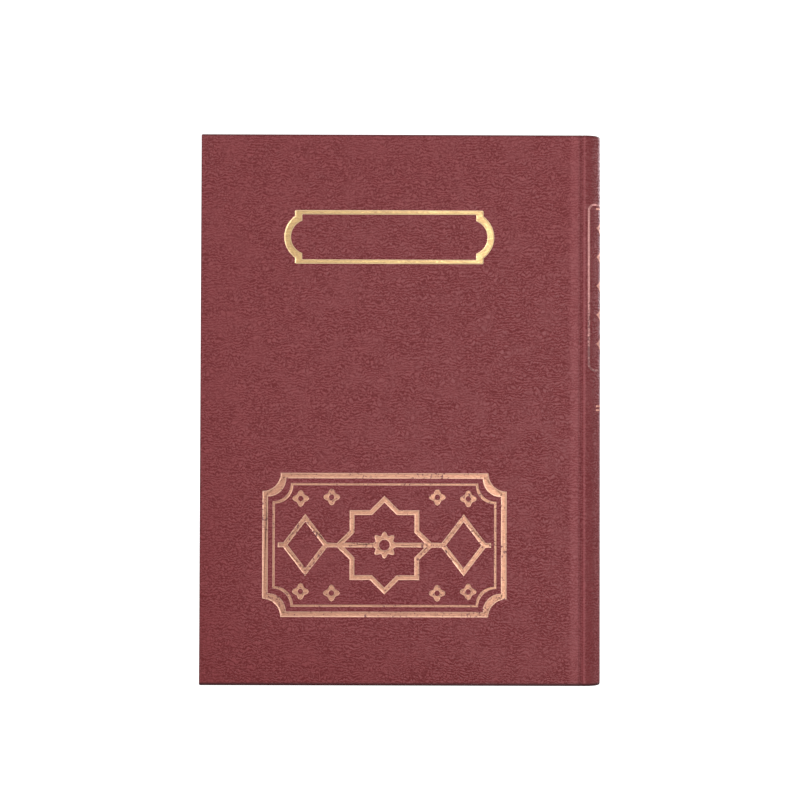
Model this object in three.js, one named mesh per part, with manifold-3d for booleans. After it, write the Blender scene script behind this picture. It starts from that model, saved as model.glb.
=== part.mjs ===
// A case-bound register book, closed and standing on its tail.
// Millimetres, +Z towards the head, +X towards the spine, the front cover faces -Y.
// The origin is under the middle of the book, on the surface that it stands on.

import * as THREE from 'three';
import { mergeGeometries, mergeVertices } from 'three/addons/utils/BufferGeometryUtils.js';
import Module from 'manifold-3d';

const wasm = await Module();
wasm.setup();

// Driving dimensions of the leaves and the case
const LEAF_WIDTH = 210;
const LEAF_HEIGHT = 297;
const SQUARE = 3; // how far the boards stand past the leaves at head and tail
const FORE_SQUARE = 3.5; // the same at the fore-edge
const CLOTH = 0.35;
const BOARD_THICK = 2.1;
const TURN_IN = 15;
const LEAF_THICK = 0.12;
const ENDPAPER_THICK = 0.16;
const SECTION_THICK = 0.8;
const SECTIONS_PER_HALF = 6;
const LOOSE_LEAVES = 3;
const SEAT = 0.05; // air left between glued or stacked sheets
const CLEAR = 0.3; // air left round a piece that turns past another

// Driving dimensions of the back of the block
const ROUND_RISE = 4.5; // how far the middle fold stands past the outer ones
const MULL_THICK = 0.25;
const MULL_SHORT = 13.5;
const LINING_THICK = 0.2;
const LINING_SHORT = 5;
const HEADBAND_BEAD = 1.5;
const HEADBAND_TAPE = 12;
const HOLLOW = 1.2; // air in the hollow back, at its middle
const LINER_THICK = 0.6;
const SPINE_TURN_IN = 15;

// Driving dimensions of the joint between a board and the spine
const GROOVE_WIDTH = 3.5;
const GROOVE_DEPTH = 2.35;
const GROOVE_TO_LINER = 0.2;

// Driving dimensions of the stamped foil
const FOIL_THICK = 0.08;
const STAMP_DEPTH = 0.14;
const FOIL_GAP = 0.04;

// Each place is a shift from the middle of the cover and a distance from its head or its tail
const TITLE = { shift: -0.26, fromHead: 56.65, halfBar: 51.9, halfHeight: 15.05, barStroke: 2.9 };
const TITLE_END = { bulge: 5.9, lug: 3.7, innerLug: 6.1, lugStroke: 4, arcStroke: 3.7, corner: 1.1 };
const PANEL = { shift: -2.41, fromTail: 77, halfWidth: 67, halfHeight: 39.5, stroke: 3, scoop: 10 };
const PANEL_RULE = { gap: 2.6, stroke: 1.2 };
const STAR = { toRule: 5.7, stroke: 2.6 };
const ROSETTE = { radius: 7.4, petals: 8, petalDepth: 2.2, hole: 3 };
const LOZENGE = { toStar: 3.5, toRuleBeside: 1.7, toRuleAbove: 15.7, stroke: 2.6, barHalf: 1.3, tail: 2 };
const FLORET = { radius: 4.6, petals: 4, petalDepth: 1.7, hole: 1.5 };
const FLORET_ROW = { toRuleBeside: 14.2, toRuleAbove: 7.2, pitch: 17, rise: 0.8 };
const SPINE_FRAME = { fromHead: 37.7, length: 92.5, line: 1, corner: 4, halfAngle: 78 };
const SPINE_RULE = { fromHead: 148.9, line: 1, pitch: 2.2, halfAngle: 48 };
const SPINE_LOZENGE = { fromHead: 51, pitch: 16, halfWidth: 7.4, halfHeight: 5.6, stroke: 1.7 };

const SPINE_LOZENGES = 5;
const WELD = 1; // how far the strokes of one stamp run into each other

const GRID = 1024; // grid steps in a millimetre
const ARC_STEPS = 20;
const ROUND_STEPS = 12;
const SMALL_STEPS = 6;

// The stack from the middle of the book out to the cover, as distances from the middle plane
const pitch = SECTION_THICK + SEAT;
const halfSections = SECTIONS_PER_HALF * pitch;
const leafPitch = LEAF_THICK + SEAT;
const flyleafIn = halfSections + LOOSE_LEAVES * leafPitch;
const blockHalf = flyleafIn + ENDPAPER_THICK;
const pastedownIn = blockHalf + SEAT;
const turnInIn = pastedownIn + ENDPAPER_THICK + SEAT;
const boardIn = turnInIn + CLOTH + SEAT;
const clothIn = boardIn + BOARD_THICK + SEAT;
const caseHalf = clothIn + CLOTH;
const caseHeight = LEAF_HEIGHT + 2 * SQUARE;

// Places along the width, worked out from the fore-edge of the case
const foldOuterU = FORE_SQUARE + LEAF_WIDTH;
const backRadius = (blockHalf ** 2 + ROUND_RISE ** 2) / (2 * ROUND_RISE);
const backCentreU = foldOuterU + ROUND_RISE - backRadius;
const mullIn = backRadius + SEAT;
const liningIn = mullIn + MULL_THICK + SEAT;
const hollowIn = liningIn + LINING_THICK;
const shellRadius = caseHalf;
const linerIn = shellRadius - CLOTH - SEAT - LINER_THICK;
const shellCentreU = backCentreU + hollowIn + HOLLOW - linerIn;
const caseWidth = shellCentreU + shellRadius;
const grooveEndU = shellCentreU - GROOVE_TO_LINER;
const grooveStartU = grooveEndU - GROOVE_WIDTH;
const boardEndU = grooveStartU - CLEAR;
const hingeU = (grooveStartU + grooveEndU) / 2;

// The middles of the two stamps on the front cover
const titlePlace = { u: boardEndU / 2 + TITLE.shift, z: caseHeight - TITLE.fromHead };
const panelPlace = { u: boardEndU / 2 + PANEL.shift, z: PANEL.fromTail };

// What fits inside the rule of the lower panel, as distances from its middle
const ruleInset = PANEL.stroke + PANEL_RULE.gap;
const panelInner = {
  halfWidth: PANEL.halfWidth - ruleInset - PANEL_RULE.stroke,
  halfHeight: PANEL.halfHeight - ruleInset - PANEL_RULE.stroke,
};
const starRadius = panelInner.halfHeight - STAR.toRule;
const lozengeInner = starRadius + LOZENGE.toStar;
const lozengeOuter = panelInner.halfWidth - LOZENGE.toRuleBeside - LOZENGE.tail;

const toX = (u) => u - caseWidth / 2;
const FRONT = -1;
const BACK = 1;

// Colours and finishes of the materials
const finish = (color, roughness, metalness) => () =>
  new THREE.MeshStandardMaterial({ color, roughness, metalness });
const leatherette = finish(0x84494b, 0.55, 0);
const greyboard = finish(0x8d8578, 0.9, 0);
const endpaper = finish(0xefe9da, 0.9, 0);
const bookPaper = finish(0xf4f1e6, 0.85, 0);
const muslin = finish(0xd9d3c2, 0.95, 0);
const kraft = finish(0xb48a5a, 0.9, 0);
const bandCloth = finish(0xd8c9a8, 0.8, 0);
const goldFoil = finish(0xdcb46e, 0.3, 1);
const roseFoil = finish(0xc8967a, 0.35, 1);

// A closed geometry as a solid for cutting and joining, its corners on a fine grid so that faces meet
function solidOf(geometry) {
  const bare = geometry.index ? geometry.toNonIndexed() : geometry.clone();
  bare.deleteAttribute('normal');
  bare.deleteAttribute('uv');
  const merged = mergeVertices(bare, 1e-4);
  const onGrid = (value) => Math.round(value * GRID) / GRID;
  const vertProperties = Float32Array.from(merged.attributes.position.array, onGrid);
  const triVerts = Uint32Array.from(merged.index.array);
  return new wasm.Manifold(new wasm.Mesh({ numProp: 3, vertProperties, triVerts }));
}

// A solid back as a geometry
function geometryOf(solid) {
  const mesh = solid.getMesh();
  const geometry = new THREE.BufferGeometry();
  geometry.setAttribute('position', new THREE.BufferAttribute(mesh.vertProperties, 3));
  geometry.setIndex(new THREE.BufferAttribute(mesh.triVerts, 1));
  return geometry;
}

const joined = (geometries) => geometryOf(geometries.map(solidOf).reduce((a, b) => a.add(b)));
const cutBy = (geometry, cutters) =>
  geometryOf(cutters.map(solidOf).reduce((a, b) => a.subtract(b), solidOf(geometry)));

// A block between two places across the width, two distances from the middle, and two heights
function sheet(side, [u0, u1], [d0, d1], [z0, z1]) {
  const geometry = new THREE.BoxGeometry(u1 - u0, d1 - d0, z1 - z0);
  return geometry.translate(toX((u0 + u1) / 2), (side * (d0 + d1)) / 2, (z0 + z1) / 2);
}

// A plan outline drawn up from one height to another
function upright(shape, z0, z1, curveSegments = ROUND_STEPS) {
  const options = { depth: z1 - z0, bevelEnabled: false, curveSegments };
  return new THREE.ExtrudeGeometry(shape, options).translate(0, 0, z0);
}

// A profile of radius and height turned part of the way round a vertical line, with its two ends closed
function turned(profile, centreU, halfAngle, steps = ARC_STEPS) {
  const start = Math.PI / 2 - halfAngle;
  const points = [...profile, profile[0]].map(([r, z]) => new THREE.Vector2(r, z));
  const wall = new THREE.LatheGeometry(points, steps, start, 2 * halfAngle).toNonIndexed();
  const face = new THREE.ShapeGeometry(new THREE.Shape(points.slice(0, -1))).toNonIndexed();
  const near = face.clone().rotateY(-halfAngle);
  const far = turnedOver(face).rotateY(halfAngle);
  const whole = mergeGeometries([wall, near, far].map(bareOf));
  return geometryOf(solidOf(whole.rotateX(Math.PI / 2).translate(toX(centreU), 0, 0)));
}

function bareOf(geometry) {
  geometry.deleteAttribute('normal');
  geometry.deleteAttribute('uv');
  return geometry;
}

// A copy of loose triangles that faces the other way
function turnedOver(geometry) {
  const copy = geometry.clone();
  const place = copy.attributes.position;
  for (let k = 0; k < place.count; k += 3) {
    const first = new THREE.Vector3().fromBufferAttribute(place, k);
    const second = new THREE.Vector3().fromBufferAttribute(place, k + 1);
    place.setXYZ(k, ...second);
    place.setXYZ(k + 1, ...first);
  }
  return copy;
}

// Part of a ring round a vertical line, open towards the fore-edge
function arcWall(centreU, r0, r1, halfAngle, z0, z1, steps = ARC_STEPS) {
  return turned([[r0, z0], [r1, z0], [r1, z1], [r0, z1]], centreU, halfAngle, steps);
}

// How far across the width a fold lies, at a distance from the middle of the block
const foldU = (distance) => backCentreU + Math.sqrt(backRadius ** 2 - distance ** 2);

// A folded section: a slab of leaves with a round fold, its ends following the rounded back
function section(side, index) {
  const near = side * (SEAT / 2 + index * pitch);
  const far = near + side * SECTION_THICK;
  const middle = (near + far) / 2;
  const fold = foldU(far);
  const foldStart = fold - SECTION_THICK / 2;
  const edge = (distance) => toX(foldU(distance) - LEAF_WIDTH);
  const shape = new THREE.Shape();
  shape.moveTo(edge(near), near);
  shape.lineTo(toX(foldStart), near);
  shape.quadraticCurveTo(toX(fold), near, toX(fold), middle);
  shape.quadraticCurveTo(toX(fold), far, toX(foldStart), far);
  shape.lineTo(edge(far), far);
  shape.lineTo(edge(middle), middle);
  return upright(shape, SQUARE, SQUARE + LEAF_HEIGHT, SMALL_STEPS);
}

// One leaf, from its fold to its fore-edge
function leaf(side, inner, thick) {
  const fold = foldU(inner + thick);
  const across = [fold - LEAF_WIDTH, fold];
  return sheet(side, across, [inner, inner + thick], [SQUARE, SQUARE + LEAF_HEIGHT]);
}

// The half angle that the linings and headbands wrap round the back
const backHalfAngle = Math.asin((halfSections + LOOSE_LEAVES * leafPitch) / backRadius);

function backWrap(inner, thick, low, high) {
  return arcWall(backCentreU, inner, inner + thick, backHalfAngle, low, high);
}

// A headband: a bead that lies on the folds and a tape glued down the back
function headband(atHead) {
  const edge = atHead ? SQUARE + LEAF_HEIGHT : SQUARE;
  const out = atHead ? 1 : -1;
  const outer = mullIn + MULL_THICK;
  const base = edge + out * SEAT;
  const top = base + out * HEADBAND_BEAD;
  const inner = outer - HEADBAND_BEAD - MULL_THICK;
  const soft = HEADBAND_BEAD / 4;
  const profile = [
    [mullIn, edge - out * HEADBAND_TAPE],
    [outer, edge - out * HEADBAND_TAPE],
    [outer, top - out * soft],
    [outer - soft, top],
    [inner + soft, top],
    [inner, top - out * soft],
    [inner, base],
    [mullIn, base],
  ];
  return turned(atHead ? profile : profile.reverse(), backCentreU, backHalfAngle);
}

// The stiff card inside the spine, between the turned-in ends of the cloth
function spineLiner() {
  const end = CLOTH + SEAT;
  return arcWall(shellCentreU, linerIn, linerIn + LINER_THICK, Math.PI / 2, end, caseHeight - end);
}

// The cloth round the spine, turned in over the card at head and tail
function spineCloth() {
  const outer = shellRadius;
  const face = shellRadius - CLOTH;
  const turned1 = linerIn - SEAT;
  const turned0 = turned1 - CLOTH;
  const profile = [
    [turned0, 0],
    [outer, 0],
    [outer, caseHeight],
    [turned0, caseHeight],
    [turned0, caseHeight - SPINE_TURN_IN],
    [turned1, caseHeight - SPINE_TURN_IN],
    [turned1, caseHeight - CLOTH],
    [face, caseHeight - CLOTH],
    [face, CLOTH],
    [turned1, CLOTH],
    [turned1, SPINE_TURN_IN],
    [turned0, SPINE_TURN_IN],
  ];
  return turned(profile, shellCentreU, Math.PI / 2);
}

// An outline drawn on the unrolled spine, as foil that lies round it between two heights
function onSpine(shape, low, high) {
  const r0 = shellRadius + SEAT;
  const band = arcWall(shellCentreU, r0, r0 + FOIL_THICK, Math.PI / 2, low, high);
  const seen = ({ x, y }) => new THREE.Vector2(shellRadius * Math.sin(x / shellRadius), y);
  const face = new THREE.Shape(shape.getPoints(SMALL_STEPS).map(seen));
  face.holes = shape.holes.map((hole) => new THREE.Path(hole.getPoints(SMALL_STEPS).map(seen)));
  const prism = new THREE.ExtrudeGeometry(face, { depth: 2 * shellRadius, bevelEnabled: false });
  const across = new THREE.Vector3(0, 1, 0);
  const up = new THREE.Vector3(0, 0, 1);
  const out = new THREE.Vector3(1, 0, 0);
  prism.applyMatrix4(new THREE.Matrix4().makeBasis(across, up, out));
  prism.translate(toX(shellCentreU), 0, 0);
  return geometryOf(solidOf(band).intersect(solidOf(prism)));
}

function roundedOutline(half, low, high, radius, path) {
  const quarter = Math.PI / 2;
  path.moveTo(-half + radius, low);
  path.absarc(half - radius, low + radius, radius, -quarter, 0, false);
  path.absarc(half - radius, high - radius, radius, 0, quarter, false);
  path.absarc(-half + radius, high - radius, radius, quarter, 2 * quarter, false);
  path.absarc(-half + radius, low + radius, radius, 2 * quarter, 3 * quarter, false);
  path.closePath();
  return path;
}

// The frame with round corners stamped round the spine
function spineFrame() {
  const { fromHead, length, line, corner, halfAngle } = SPINE_FRAME;
  const half = shellRadius * THREE.MathUtils.degToRad(halfAngle);
  const high = caseHeight - fromHead;
  const low = high - length;
  const ring = roundedOutline(half, low, high, corner, new THREE.Shape());
  ring.holes.push(
    roundedOutline(half - line, low + line, high - line, corner - line, new THREE.Path()));
  return onSpine(ring, low, high);
}

// The short rules across the spine: one inside the head of the frame and a pair below it
function spineRules() {
  const { fromHead, line, pitch: step, halfAngle } = SPINE_RULE;
  const r0 = shellRadius + SEAT;
  const half = THREE.MathUtils.degToRad(halfAngle);
  const lower = caseHeight - fromHead;
  const tops = [caseHeight - SPINE_FRAME.fromHead - step, lower, lower - step];
  return tops.map((top, k) => [
    `spine_rule_foil_${k + 1}`,
    arcWall(shellCentreU, r0, r0 + FOIL_THICK, half, top - line, top),
    roseFoil,
  ]);
}

// The column of lozenges inside the frame on the spine
function spineLozenges() {
  const { fromHead, pitch: step, halfWidth, halfHeight, stroke } = SPINE_LOZENGE;
  return Array.from({ length: SPINE_LOZENGES }, (_, k) => {
    const z = caseHeight - fromHead - k * step;
    const ring = lozengeRing([0, z], [halfWidth, halfHeight], stroke, 0);
    return [`spine_lozenge_foil_${k + 1}`, onSpine(ring, z - halfHeight, z + halfHeight), roseFoil];
  });
}

// The cloth pressed into the groove between a board and the spine
function jointCloth(side) {
  const half = GROOVE_WIDTH / 2;
  const x = toX(hingeU);
  const curve = (a, depth) => (k) => {
    const angle = (Math.PI * k) / ROUND_STEPS;
    return new THREE.Vector2(x - a * Math.cos(angle), side * (caseHalf - depth * Math.sin(angle)));
  };
  const steps = Array.from({ length: ROUND_STEPS + 1 }, (_, k) => k);
  const seen = steps.map(curve(half - CLOTH, GROOVE_DEPTH));
  const hidden = steps.map(curve(half, GROOVE_DEPTH + CLOTH));
  return upright(new THREE.Shape([...seen, ...hidden.reverse()]), 0, caseHeight);
}

// The cloth on a cover: its face, its three folded edges and its turn-ins
function coverCloth(side, stamps) {
  const across = [0, boardEndU];
  const inner = [turnInIn, turnInIn + CLOTH];
  const whole = [turnInIn, caseHalf];
  const face = sheet(side, across, [clothIn, caseHalf], [0, caseHeight]);
  const edges = [
    sheet(side, across, whole, [0, CLOTH]),
    sheet(side, across, whole, [caseHeight - CLOTH, caseHeight]),
    sheet(side, [0, CLOTH], whole, [0, caseHeight]),
    sheet(side, across, inner, [0, TURN_IN]),
    sheet(side, across, inner, [caseHeight - TURN_IN, caseHeight]),
    sheet(side, [0, TURN_IN], inner, [0, caseHeight]),
  ];
  const cloth = joined([face, ...edges]);
  return stamps.length ? cutBy(cloth, stamps) : cloth;
}

function board(side) {
  const margin = CLOTH + SEAT;
  return sheet(side, [margin, boardEndU], [boardIn, boardIn + BOARD_THICK], [margin, caseHeight - margin]);
}

function pastedown(side) {
  const across = [foldOuterU - LEAF_WIDTH, boardEndU];
  const depth = [pastedownIn, pastedownIn + ENDPAPER_THICK];
  return sheet(side, across, depth, [SQUARE, SQUARE + LEAF_HEIGHT]);
}

// A flat outline stamped on the front cover: the cutter for its recess, or the foil that lies in it
function stamped(shapes, { u, z }, isCutter) {
  const low = isCutter ? caseHalf - STAMP_DEPTH : caseHalf - STAMP_DEPTH + FOIL_GAP / 2;
  const high = isCutter ? caseHalf + FOIL_THICK : low + FOIL_THICK;
  const options = { depth: high - low, bevelEnabled: false, curveSegments: ROUND_STEPS };
  return shapes.map((shape) => {
    const plate = new THREE.ExtrudeGeometry(shape, options);
    return plate.rotateX(Math.PI / 2).translate(toX(u), -low, z);
  });
}

// One closed outline of the title frame: straight bars, stepped lugs and bulging ends
function titleOutline(halfBar, halfHeight, lug, bulge, corner, path) {
  const shoulder = halfHeight - lug;
  const radius = (shoulder ** 2 + bulge ** 2) / (2 * bulge);
  const swing = Math.asin(shoulder / radius);
  const centre = halfBar + bulge - radius;
  path.moveTo(-halfBar + corner, -halfHeight);
  path.lineTo(halfBar - corner, -halfHeight);
  path.quadraticCurveTo(halfBar, -halfHeight, halfBar, -halfHeight + corner);
  path.lineTo(halfBar, -shoulder);
  path.absarc(centre, 0, radius, -swing, swing, false);
  path.lineTo(halfBar, halfHeight - corner);
  path.quadraticCurveTo(halfBar, halfHeight, halfBar - corner, halfHeight);
  path.lineTo(-halfBar + corner, halfHeight);
  path.quadraticCurveTo(-halfBar, halfHeight, -halfBar, halfHeight - corner);
  path.lineTo(-halfBar, shoulder);
  path.absarc(-centre, 0, radius, Math.PI - swing, Math.PI + swing, false);
  path.lineTo(-halfBar, -halfHeight + corner);
  path.quadraticCurveTo(-halfBar, -halfHeight, -halfBar + corner, -halfHeight);
  return path;
}

function titleFrame(grow) {
  const { halfBar, halfHeight, barStroke } = TITLE;
  const { bulge, lug, innerLug, lugStroke, arcStroke, corner } = TITLE_END;
  const innerBar = halfBar - lugStroke;
  const innerBulge = halfBar + bulge - arcStroke - innerBar;
  const innerHeight = halfHeight - barStroke;
  const outer = titleOutline(
    halfBar + grow, halfHeight + grow, lug, bulge, corner, new THREE.Shape());
  outer.holes.push(titleOutline(
    innerBar - grow, innerHeight - grow, innerLug - barStroke, innerBulge, corner / 2, new THREE.Path()));
  return [outer];
}

// A rectangle whose corners are scooped out by quarter circles
function scoopedOutline(halfWidth, halfHeight, scoop, path) {
  const quarter = Math.PI / 2;
  const corners = [
    [halfWidth, -halfHeight, 2 * quarter, quarter],
    [halfWidth, halfHeight, 3 * quarter, 2 * quarter],
    [-halfWidth, halfHeight, 0, -quarter],
    [-halfWidth, -halfHeight, quarter, 0],
  ];
  path.moveTo(-halfWidth + scoop, -halfHeight);
  for (const [x, y, from, to] of corners) {
    path.absarc(x, y, scoop, from, to, true);
  }
  path.closePath();
  return path;
}

function scoopedRing(halfWidth, halfHeight, stroke, grow) {
  const { scoop } = PANEL;
  const ring = scoopedOutline(halfWidth + grow, halfHeight + grow, scoop, new THREE.Shape());
  const inner = [halfWidth - stroke - grow, halfHeight - stroke - grow];
  ring.holes.push(scoopedOutline(...inner, scoop, new THREE.Path()));
  return ring;
}

const panelFrame = (grow) => [scoopedRing(PANEL.halfWidth, PANEL.halfHeight, PANEL.stroke, grow)];

// The thin rule inside the frame of the lower panel
function panelRule(grow) {
  const half = [PANEL.halfWidth - ruleInset, PANEL.halfHeight - ruleInset];
  return [scoopedRing(...half, PANEL_RULE.stroke, grow)];
}

// A closed outline through points round a middle, at distances that a formula gives
function pointsRound([x, y], count, radiusAt) {
  return Array.from({ length: count }, (_, k) => {
    const angle = (2 * Math.PI * k) / count;
    return new THREE.Vector2(x + radiusAt(k) * Math.cos(angle), y + radiusAt(k) * Math.sin(angle));
  });
}

// The radius of the inner corners of a star made of two crossed squares
const innerCorner = (radius) => (radius * Math.SQRT1_2) / Math.cos(Math.PI / 8);

function starRing(grow) {
  const points = (r) => pointsRound([0, 0], 16, (k) => (k % 2 ? innerCorner(r) : r));
  const ring = new THREE.Shape(points(starRadius + grow));
  ring.holes.push(new THREE.Path(points(starRadius - STAR.stroke * Math.SQRT2 - grow)));
  return ring;
}

// A flower with round petals and a hole in its middle
function flower(middle, { radius, petals, petalDepth, hole }, grow) {
  const count = petals * SMALL_STEPS;
  const wave = (k) => Math.cos((2 * Math.PI * k) / SMALL_STEPS);
  const edge = (k) => radius + grow - (petalDepth * (1 - wave(k))) / 2;
  const shape = new THREE.Shape(pointsRound(middle, count, edge));
  shape.holes.push(new THREE.Path(pointsRound(middle, 2 * ROUND_STEPS, () => hole - grow)));
  return shape;
}

// A lozenge with strokes of one width all round
function lozengeRing([x, y], [a, b], stroke, grow) {
  const slant = Math.hypot(a, b);
  const corners = (inset) => {
    const [w, h] = [a - (inset * slant) / b, b - (inset * slant) / a];
    return [[w, 0], [0, h], [-w, 0], [0, -h]].map(([dx, dy]) => new THREE.Vector2(x + dx, y + dy));
  };
  const ring = new THREE.Shape(corners(-grow));
  ring.holes.push(new THREE.Path(corners(stroke + grow)));
  return ring;
}

function bar(x0, x1, halfHeight) {
  const corners = [[x0, -halfHeight], [x1, -halfHeight], [x1, halfHeight], [x0, halfHeight]];
  return new THREE.Shape(corners.map(([x, y]) => new THREE.Vector2(x, y)));
}

// The medallion of the lower panel: a crossed-square star, a rosette and two lozenges on one rule
function medallion(grow) {
  const { toRuleAbove, stroke, barHalf, tail } = LOZENGE;
  const centre = (lozengeInner + lozengeOuter) / 2;
  const size = [(lozengeOuter - lozengeInner) / 2, panelInner.halfHeight - toRuleAbove];
  const half = barHalf + grow;
  const shapes = [starRing(grow), flower([0, 0], ROSETTE, grow)];
  for (const side of [-1, 1]) {
    shapes.push(lozengeRing([side * centre, 0], size, stroke, grow));
    shapes.push(bar(side * (starRadius - WELD), side * (lozengeInner + stroke), half));
    shapes.push(bar(side * (ROSETTE.radius - WELD), side * (starRadius - STAR.stroke), half));
    shapes.push(bar(side * (lozengeOuter - stroke), side * (lozengeOuter + tail + grow), half));
  }
  return shapes;
}

// The middles of the florets, two in each corner of the panel
function floretPlaces() {
  const { toRuleBeside, toRuleAbove, pitch: step, rise } = FLORET_ROW;
  const far = [panelInner.halfWidth - toRuleBeside, panelInner.halfHeight - toRuleAbove];
  const near = [far[0] - step, far[1] + rise];
  const places = [];
  for (const up of [1, -1]) {
    for (const side of [-1, 1]) {
      places.push(...[near, far].map(([x, y]) => [side * x, up * y]));
    }
  }
  return places;
}

const floret = (middle, grow) => [flower(middle, FLORET, grow)];

// The pieces of one cover
function coverPieces(side, name) {
  const isFront = side === FRONT;
  const stamps = isFront
    ? [
      ...stamped(titleFrame(FOIL_GAP), titlePlace, true),
      ...stamped(panelFrame(FOIL_GAP), panelPlace, true),
      ...stamped(panelRule(FOIL_GAP), panelPlace, true),
      ...stamped(medallion(FOIL_GAP), panelPlace, true),
      ...floretPlaces().flatMap((middle) => stamped(floret(middle, FOIL_GAP), panelPlace, true)),
    ]
    : [];
  return [
    [`${name}_board`, board(side), greyboard],
    [`${name}_cover_cloth`, coverCloth(side, stamps), leatherette],
    [`${name}_joint_cloth`, jointCloth(side), leatherette],
    [`${name}_pastedown`, pastedown(side), endpaper],
    [`${name}_flyleaf`, leaf(side, flyleafIn, ENDPAPER_THICK), endpaper],
  ];
}

// The sections and the leaves that turn with a cover, counted outwards from the middle
function halfBlock(side, name) {
  const pieces = [];
  for (let k = 0; k < SECTIONS_PER_HALF; k += 1) {
    pieces.push([`${name}_section_${SECTIONS_PER_HALF - k}`, section(side, k), bookPaper]);
  }
  for (let k = 0; k < LOOSE_LEAVES; k += 1) {
    const inner = halfSections + k * leafPitch;
    pieces.push([`${name}_leaf_${LOOSE_LEAVES - k}`, leaf(side, inner, LEAF_THICK), bookPaper]);
  }
  return pieces;
}

function backPieces() {
  const head = SQUARE + LEAF_HEIGHT;
  const mull = backWrap(mullIn, MULL_THICK, SQUARE + MULL_SHORT, head - MULL_SHORT);
  const lining = backWrap(liningIn, LINING_THICK, SQUARE + LINING_SHORT, head - LINING_SHORT);
  return [
    ['back_mull', mull, muslin],
    ['back_lining_paper', lining, kraft],
    ['head_band', headband(true), bandCloth],
    ['tail_band', headband(false), bandCloth],
    ['spine_liner', spineLiner(), greyboard],
    ['spine_cloth', spineCloth(), leatherette],
    ['spine_frame_foil', spineFrame(), roseFoil],
  ];
}

function foilPieces() {
  const foil = (shapes, place) => joined(stamped(shapes, place, false));
  const florets = floretPlaces().map((middle, k) => [
    `floret_foil_${k + 1}`, foil(floret(middle, 0), panelPlace), roseFoil,
  ]);
  return [
    ['title_frame_foil', foil(titleFrame(0), titlePlace), goldFoil],
    ['panel_frame_foil', foil(panelFrame(0), panelPlace), roseFoil],
    ['panel_rule_foil', foil(panelRule(0), panelPlace), roseFoil],
    ['medallion_foil', foil(medallion(0), panelPlace), roseFoil],
    ...florets,
    ...spineRules(),
    ...spineLozenges(),
  ];
}

const book = new THREE.Group();
book.name = 'register_book';
const pieces = [
  ...coverPieces(FRONT, 'front'),
  ...coverPieces(BACK, 'back'),
  ...halfBlock(FRONT, 'front'),
  ...halfBlock(BACK, 'back'),
  ...backPieces(),
  ...foilPieces(),
];
for (const [name, geometry, material] of pieces) {
  const mesh = new THREE.Mesh(geometry, material());
  mesh.name = name;
  book.add(mesh);
}

export default book;
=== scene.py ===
import math

import bmesh
import bpy
from mathutils import Matrix, Vector


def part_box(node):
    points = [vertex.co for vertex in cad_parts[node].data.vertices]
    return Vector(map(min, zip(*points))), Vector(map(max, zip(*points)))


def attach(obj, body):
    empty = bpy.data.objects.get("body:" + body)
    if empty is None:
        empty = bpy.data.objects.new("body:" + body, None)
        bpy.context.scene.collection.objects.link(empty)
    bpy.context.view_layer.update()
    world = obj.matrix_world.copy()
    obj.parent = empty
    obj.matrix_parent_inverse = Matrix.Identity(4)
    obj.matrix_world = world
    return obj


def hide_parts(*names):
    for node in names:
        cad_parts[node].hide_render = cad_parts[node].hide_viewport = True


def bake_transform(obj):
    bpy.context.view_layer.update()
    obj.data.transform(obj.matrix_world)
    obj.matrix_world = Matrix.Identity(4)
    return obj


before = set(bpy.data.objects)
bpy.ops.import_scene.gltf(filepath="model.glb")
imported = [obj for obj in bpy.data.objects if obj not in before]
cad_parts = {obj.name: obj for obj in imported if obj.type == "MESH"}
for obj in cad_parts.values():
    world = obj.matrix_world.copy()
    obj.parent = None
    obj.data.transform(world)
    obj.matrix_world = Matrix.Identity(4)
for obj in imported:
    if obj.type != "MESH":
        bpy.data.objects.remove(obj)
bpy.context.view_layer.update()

bl_info = {
    "name": "Register Book",
    "version": (1, 0, 0),
    "blender": (4, 5, 0),
    "location": "View3D > Sidebar > Book",
    "description": "Covering, endpapers, leaves, foil and stage of a case-bound register book",
    "category": "Object",
}

MM = 0.001
LINER_CARD = 0.6 * MM

# Places that the pieces share, read from the frame
COVER_LOW, COVER_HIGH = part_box("front_cover_cloth")
SPINE_LOW, SPINE_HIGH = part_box("spine_cloth")
LINER_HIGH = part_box("spine_liner")[1]
PASTE_LOW, PASTE_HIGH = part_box("front_pastedown")
CASE_HALF = -COVER_LOW.y
CASE_HEIGHT = COVER_HIGH.z
BOARD_END = COVER_HIGH.x
SPINE_CENTRE = SPINE_LOW.x
SPINE_RADIUS = SPINE_HIGH.y
LINER_LOW_RADIUS = LINER_HIGH.y - LINER_CARD
BLOCK_HALF = max(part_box(node)[1].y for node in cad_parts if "section" in node)
SIDES = {"front": -1, "back": 1}
COVER_BODY = {"front": "front_cover", "back": "back_cover"}
BLOCK_BODY = "text_block"
JOINT_BEVEL = 0.45 * MM
SPINE_TURN_IN = 15 * MM
BEND_LENGTH = 46 * MM
STAMP_BODY = 0.15 * MM
STAMP_PROUD = 0.015 * MM
WHITE = (1, 1, 1, 1)


# Small helpers for modelling by operator


def deselect():
    if bpy.context.mode != "OBJECT":
        bpy.ops.object.mode_set(mode="OBJECT")
    bpy.ops.object.select_all(action="DESELECT")


def make_active(obj):
    deselect()
    obj.select_set(True)
    bpy.context.view_layer.objects.active = obj


def named(name):
    """Names the object that an operator has just made."""
    obj = bpy.context.active_object
    obj.name = obj.data.name = name
    return obj


def settle(obj):
    """Puts the object's place and turn into its mesh."""
    make_active(obj)
    bpy.ops.object.transform_apply(location=True, rotation=True, scale=True)


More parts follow.
